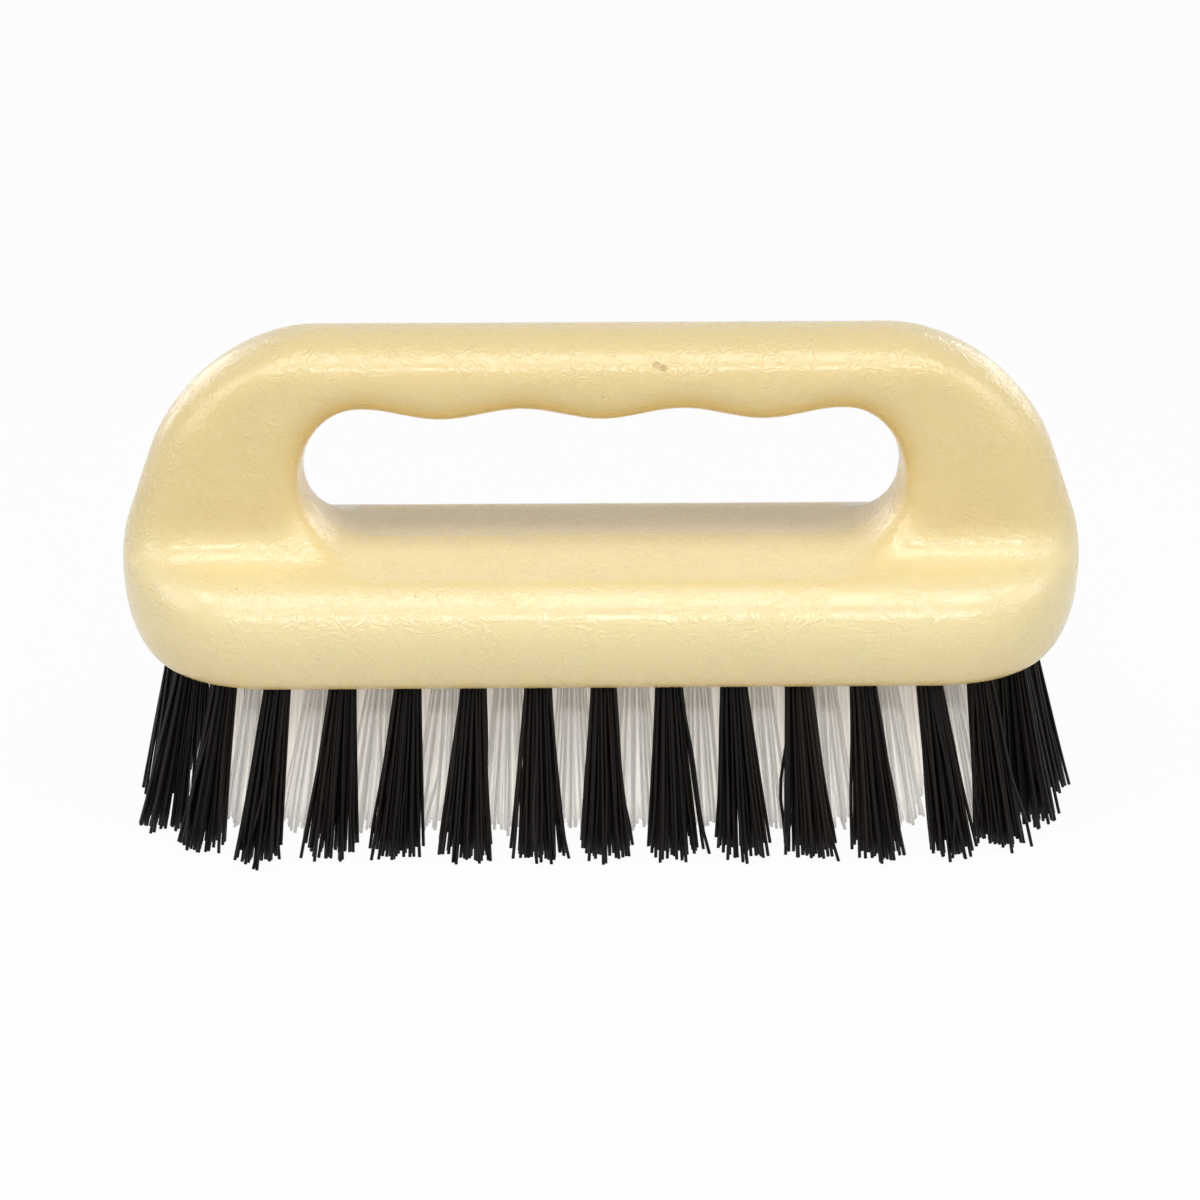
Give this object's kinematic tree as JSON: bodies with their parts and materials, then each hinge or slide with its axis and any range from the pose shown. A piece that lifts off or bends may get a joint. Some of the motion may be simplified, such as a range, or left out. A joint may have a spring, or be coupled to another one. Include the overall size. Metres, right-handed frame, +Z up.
{
  "type": "scrub brush",
  "caption": "Hand scrub brush: a moulded block with a closed, finger-grooved handle, black tufts round its edge and white tufts inside, anchored in drilled holes.",
  "frame": {"origin": "middle of the plane in which the bristle tips are trimmed, on which the brush stands", "axes": "+X along the brush, +Y across it from front to rear, +Z up through the handle"},
  "size_m": [0.1511, 0.0544, 0.0792],
  "materials": {
    "cream_plastic": "satin, finely wrinkled moulding skin",
    "black_bristle": "drawn filament, slight gloss",
    "white_bristle": "drawn filament, milky and slightly translucent",
    "anchor_wire": "bright flat wire"
  },
  "bodies": {
    "root": {"black_tuft_01": "black_bristle", "black_tuft_02": "black_bristle", "black_tuft_03": "black_bristle", "black_tuft_04": "black_bristle", "black_tuft_05": "black_bristle", "black_tuft_06": "black_bristle", "black_tuft_07": "black_bristle", "black_tuft_08": "black_bristle", "black_tuft_09": "black_bristle", "black_tuft_10": "black_bristle", "black_tuft_11": "black_bristle", "black_tuft_12": "black_bristle", "black_tuft_13": "black_bristle", "black_tuft_14": "black_bristle", "black_tuft_15": "black_bristle", "black_tuft_16": "black_bristle", "black_tuft_17": "black_bristle", "black_tuft_18": "black_bristle", "black_tuft_19": "black_bristle", "black_tuft_20": "black_bristle", "black_tuft_21": "black_bristle", "black_tuft_22": "black_bristle", "black_tuft_23": "black_bristle", "black_tuft_24": "black_bristle", "black_tuft_25": "black_bristle", "black_tuft_26": "black_bristle", "black_tuft_27": "black_bristle", "black_tuft_28": "black_bristle", "black_tuft_29": "black_bristle", "black_tuft_30": "black_bristle", "black_tuft_31": "black_bristle", "black_tuft_32": "black_bristle", "handle_block": "cream_plastic", "tuft_anchors": "anchor_wire", "white_front_tuft_01": "white_bristle", "white_front_tuft_02": "white_bristle", "white_front_tuft_03": "white_bristle", "white_front_tuft_04": "white_bristle", "white_front_tuft_05": "white_bristle", "white_front_tuft_06": "white_bristle", "white_front_tuft_07": "white_bristle", "white_front_tuft_08": "white_bristle", "white_front_tuft_09": "white_bristle", "white_front_tuft_10": "white_bristle", "white_front_tuft_11": "white_bristle", "white_front_tuft_12": "white_bristle", "white_middle_tufts": "white_bristle", "white_rear_tuft_01": "white_bristle", "white_rear_tuft_02": "white_bristle", "white_rear_tuft_03": "white_bristle", "white_rear_tuft_04": "white_bristle", "white_rear_tuft_05": "white_bristle", "white_rear_tuft_06": "white_bristle", "white_rear_tuft_07": "white_bristle", "white_rear_tuft_08": "white_bristle", "white_rear_tuft_09": "white_bristle", "white_rear_tuft_10": "white_bristle", "white_rear_tuft_11": "white_bristle", "white_rear_tuft_12": "white_bristle"}
  },
  "joints": []
}
